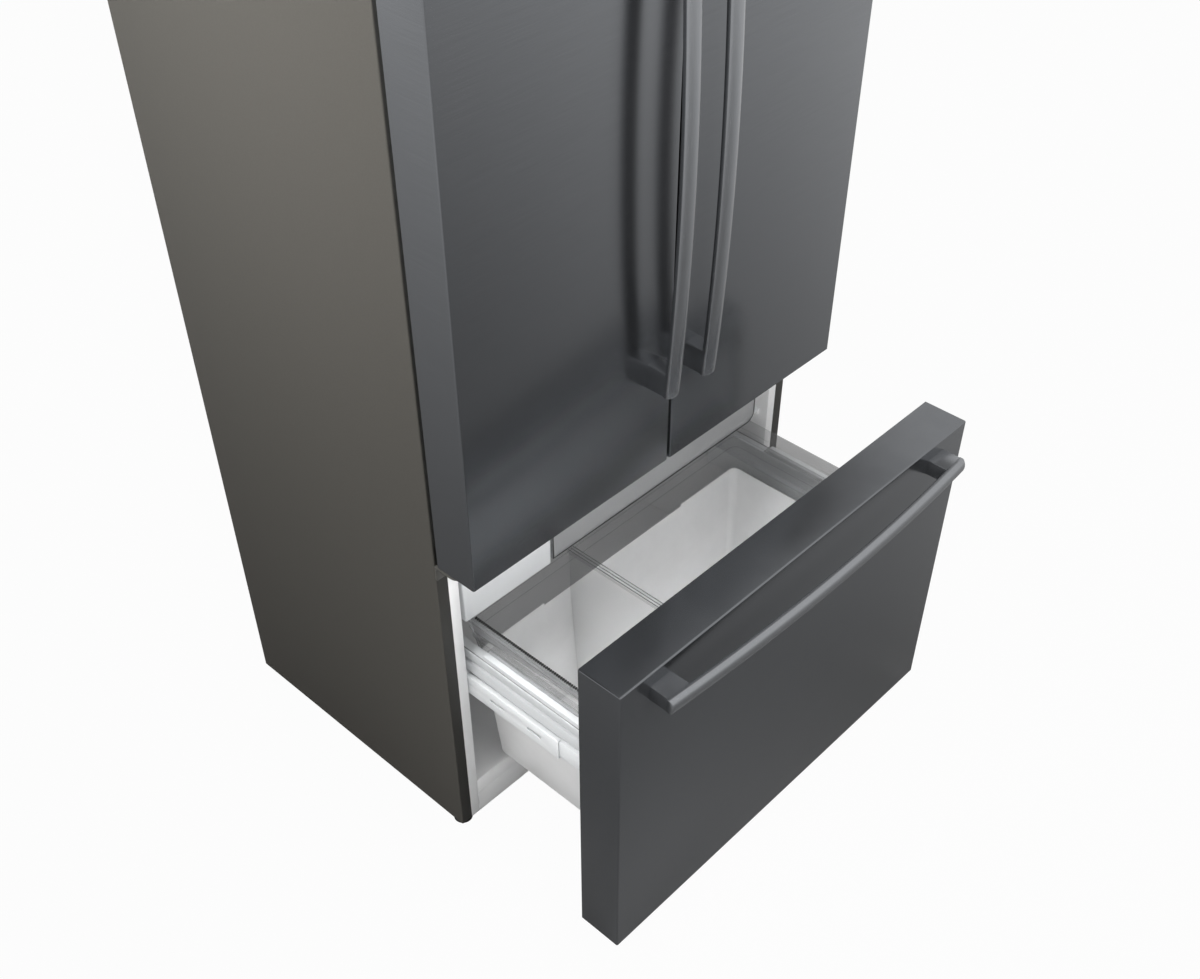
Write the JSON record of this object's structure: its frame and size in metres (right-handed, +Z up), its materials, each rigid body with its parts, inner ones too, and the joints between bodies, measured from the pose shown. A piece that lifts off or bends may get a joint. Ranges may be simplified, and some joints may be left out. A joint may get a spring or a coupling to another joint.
{
  "type": "bottom freezer refrigerator",
  "caption": "Free-standing refrigerator with two hinged upper doors over a wide freezer drawer that stands drawn out, with bowed bar handles and a divided bin.",
  "frame": {"origin": "middle of the footprint at rest, with the drawer out, on the floor under the feet", "axes": "+X to the right as seen from the front, +Y to the back, +Z up"},
  "size_m": [0.908, 1.0768, 1.829],
  "materials": {
    "black_stainless": "dark tinted brushed stainless, satin clear coat",
    "case_paint": "fine textured dark grey enamel",
    "galvanised_steel": "galvanised sheet",
    "hinge_steel": "zinc plated",
    "foam": "rigid insulating foam",
    "foamed_panel": "smooth white moulded panel on foam",
    "liner_white": "smooth white moulding",
    "fitting_white": "satin white moulding",
    "clear_plastic": "clear moulding",
    "shelf_glass": "clear tempered glass",
    "seal_rubber": "soft grey seal",
    "black_plastic": "fine grained black moulding",
    "black_rubber": "black rubber",
    "black_enamel": "black enamel",
    "fin_aluminium": "bare fins and tube",
    "copper_tube": "copper tube",
    "lamp_white": "frosted diffuser"
  },
  "bodies": {
    "cabinet": {"outer_case": "case_paint", "rear_panel": "galvanised_steel", "machine_cover": "galvanised_steel", "base_frame": "galvanised_steel", "insulation": "foam", "fresh_liner": "liner_white", "freezer_liner": "liner_white", "front_sill": "liner_white", "top_hinges": "hinge_steel", "middle_hinges": "hinge_steel", "hinge_covers": "black_plastic", "glass_shelves": "shelf_glass", "shelf_frames": "fitting_white", "air_duct": "fitting_white", "ceiling_light": "lamp_white", "flap_guide": "fitting_white", "cabinet_rails": "fitting_white", "tray_shelf": "fitting_white", "freezer_tray": "clear_plastic", "ice_bin": "fitting_white", "evaporator_cover": "fitting_white", "evaporator": "fin_aluminium", "compressor": "black_enamel", "grommets": "black_rubber", "condenser": "black_enamel", "fan_shroud": "black_plastic", "drain_pan": "black_plastic", "refrigerant_lines": "copper_tube", "cord_gland": "black_plastic"},
    "left_door": {"left_door_skin": "black_stainless", "left_door_liner": "foamed_panel", "left_door_caps": "black_plastic", "left_door_gasket": "seal_rubber", "left_handle": "black_stainless", "left_door_bins": "clear_plastic"},
    "right_door": {"right_door_skin": "black_stainless", "right_door_liner": "foamed_panel", "right_door_caps": "black_plastic", "right_door_gasket": "seal_rubber", "right_handle": "black_stainless", "right_door_bins": "clear_plastic"},
    "freezer_drawer": {"drawer_skin": "black_stainless", "drawer_liner": "foamed_panel", "drawer_gasket": "seal_rubber", "drawer_handle": "black_stainless", "drawer_frames": "fitting_white", "drawer_slides": "hinge_steel", "freezer_bin": "liner_white", "bin_collar": "clear_plastic", "bin_divider": "clear_plastic"},
    "flap": {"mullion_flap": "fitting_white"},
    "slide_members": {"middle_slides": "hinge_steel"},
    "left_crisper": {"left_crisper": "clear_plastic"},
    "right_crisper": {"right_crisper": "clear_plastic"},
    "condenser_fan": {"condenser_fan": "black_plastic"},
    "evaporator_fan": {"evaporator_fan": "black_plastic"},
    "rollers": {"rear_rollers": "black_plastic"},
    "left_foot": {"left_foot": "black_plastic"},
    "right_foot": {"right_foot": "black_plastic"}
  },
  "joints": [
    {"name": "left_door_hinge", "type": "hinge", "parent": "cabinet", "child": "left_door", "pos_m": [-0.434, -0.11257, 0.69], "axis": [0, 0, -1], "range_deg": [0, 118]},
    {"name": "right_door_hinge", "type": "hinge", "parent": "cabinet", "child": "right_door", "pos_m": [0.434, -0.11257, 0.69], "axis": [0, 0, 1], "range_deg": [0, 118]},
    {"name": "flap_hinge", "type": "hinge", "parent": "left_door", "child": "flap", "pos_m": [-0.014, -0.07107, 0.74], "axis": [0, 0, -1], "range_deg": [0, 90]},
    {"name": "freezer_drawer_slide", "type": "slide", "parent": "cabinet", "child": "freezer_drawer", "axis": [0, -1, 0], "range_m": [-0.30735, 0.11]},
    {"name": "middle_slide", "type": "slide", "parent": "cabinet", "child": "slide_members", "axis": [0, -1, 0], "range_m": [-0.2152, 0.0771]},
    {"name": "left_crisper_slide", "type": "slide", "parent": "cabinet", "child": "left_crisper", "axis": [0, -1, 0], "range_m": [0, 0.1855]},
    {"name": "right_crisper_slide", "type": "slide", "parent": "cabinet", "child": "right_crisper", "axis": [0, -1, 0], "range_m": [0, 0.1855]},
    {"name": "condenser_fan_spin", "type": "hinge", "parent": "cabinet", "child": "condenser_fan", "pos_m": [-0.033, 0.43143, 0.16], "axis": [-1, 0, 0], "continuous": true},
    {"name": "evaporator_fan_spin", "type": "hinge", "parent": "cabinet", "child": "evaporator_fan", "pos_m": [0, 0.41442, 0.58], "axis": [0, 1, 0], "continuous": true},
    {"name": "roller_axle", "type": "hinge", "parent": "cabinet", "child": "rollers", "pos_m": [0, 0.48342, 0.018], "axis": [1, 0, 0], "continuous": true},
    {"name": "left_foot_screw", "type": "hinge", "parent": "cabinet", "child": "left_foot", "pos_m": [-0.43, -0.05058, 0], "axis": [0, 0, 1], "range_deg": [-180, 180]},
    {"name": "right_foot_screw", "type": "hinge", "parent": "cabinet", "child": "right_foot", "pos_m": [0.43, -0.05058, 0], "axis": [0, 0, 1], "range_deg": [-180, 180]}
  ],
  "couplings": [
    {"joint": "middle_slide", "follows": "freezer_drawer_slide", "ratio": 0.7},
    {"joint": "left_crisper_slide", "follows": "left_door_hinge", "m_per_rad": 0.09},
    {"joint": "right_crisper_slide", "follows": "right_door_hinge", "m_per_rad": 0.09}
  ]
}
